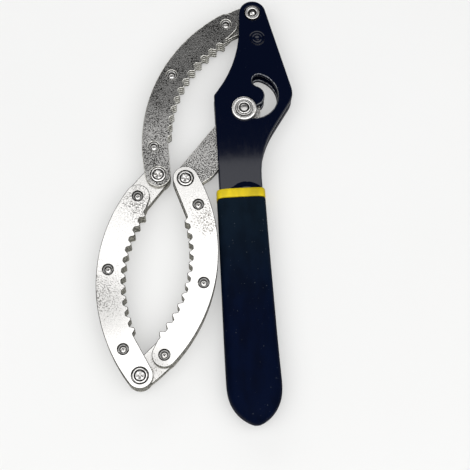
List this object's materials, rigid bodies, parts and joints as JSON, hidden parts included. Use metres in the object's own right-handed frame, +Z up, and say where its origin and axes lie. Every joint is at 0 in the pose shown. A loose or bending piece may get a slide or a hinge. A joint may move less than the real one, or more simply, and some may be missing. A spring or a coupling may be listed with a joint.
{
  "type": "oil filter wrench",
  "caption": "Adjustable oil filter wrench: a chain of hinged toothed plate jaws pinned to a slotted steel handle head with a vinyl grip, folded flat.",
  "frame": {"origin": "centre of the bounding box's base, on the surface the wrench lies on", "axes": "+Y along the grip towards the top pivot, +Z up out of the flat wrench, +X towards the slot side of the head"},
  "size_m": [0.1014, 0.217, 0.0142],
  "materials": {
    "black_paint": "gloss black baked paint",
    "grip_vinyl": "matt blue-black dipped vinyl",
    "ring_vinyl": "satin yellow vinyl",
    "bright_plate": "tumbled bright plated steel with fine pitting",
    "grey_plate": "tumbled dull plated steel with fine pitting",
    "tail_plate": "grainy plated steel",
    "rivet_steel": "set rivet with a drilled dimple",
    "pivot_steel": "bright headed pivot rivet"
  },
  "bodies": {
    "handle": {"handle_front_plate": "black_paint", "handle_back_plate": "black_paint", "grip_sleeve": "grip_vinyl", "grip_ring": "ring_vinyl", "fork_spacer": "black_paint", "fork_spacer_rivet": "black_paint", "tang_upper_rivet": "rivet_steel", "tang_lower_rivet": "rivet_steel", "top_pivot_rivet": "pivot_steel"},
    "jaw_a": {"jaw_a_outer_front_plate": "grey_plate", "jaw_a_outer_back_plate": "grey_plate", "jaw_a_inner_front_plate": "grey_plate", "jaw_a_inner_back_plate": "grey_plate", "jaw_a_near_rivet": "rivet_steel", "jaw_a_middle_rivet": "rivet_steel", "jaw_a_far_rivet": "rivet_steel", "jaw_a_pivot_rivet": "pivot_steel"},
    "jaw_b": {"jaw_b_outer_front_plate": "bright_plate", "jaw_b_outer_back_plate": "bright_plate", "jaw_b_inner_front_plate": "bright_plate", "jaw_b_inner_back_plate": "bright_plate", "jaw_b_near_rivet": "rivet_steel", "jaw_b_middle_rivet": "rivet_steel", "jaw_b_far_rivet": "rivet_steel", "jaw_b_pivot_rivet": "pivot_steel"},
    "jaw_c": {"jaw_c_outer_front_plate": "bright_plate", "jaw_c_outer_back_plate": "bright_plate", "jaw_c_inner_front_plate": "bright_plate", "jaw_c_inner_back_plate": "bright_plate", "jaw_c_near_rivet": "rivet_steel", "jaw_c_middle_rivet": "rivet_steel", "jaw_c_far_rivet": "rivet_steel", "jaw_c_pivot_rivet": "pivot_steel"},
    "tail_link": {"tail_link_front_plate": "tail_plate", "tail_link_back_plate": "tail_plate", "slot_bolt": "pivot_steel", "slot_washer_front": "pivot_steel", "slot_washer_back": "pivot_steel"}
  },
  "joints": [
    {"name": "top_pivot", "type": "hinge", "parent": "handle", "child": "jaw_a", "pos_m": [0.03352, 0.10174, 0.0068], "axis": [0, 0, -1], "range_deg": [0, 93]},
    {"name": "jaw_ab_pivot", "type": "hinge", "parent": "jaw_a", "child": "jaw_b", "pos_m": [-0.01858, 0.01639, 0.0068], "axis": [0, 0, 1], "range_deg": [0, 73]},
    {"name": "jaw_bc_pivot", "type": "hinge", "parent": "jaw_b", "child": "jaw_c", "pos_m": [-0.03142, -0.08279, 0.0068], "axis": [0, 0, -1], "range_deg": [0, 43.6]},
    {"name": "tail_pivot", "type": "hinge", "parent": "jaw_c", "child": "tail_link", "pos_m": [-0.00528, 0.01374, 0.0068], "axis": [0, 0, -1], "range_deg": [0, 44.8]}
  ],
  "couplings": [
    {"joint": "jaw_ab_pivot", "follows": "top_pivot", "ratio": 0.7843},
    {"joint": "jaw_bc_pivot", "follows": "top_pivot", "ratio": 0.4684},
    {"joint": "tail_pivot", "follows": "top_pivot", "ratio": 0.4804}
  ]
}
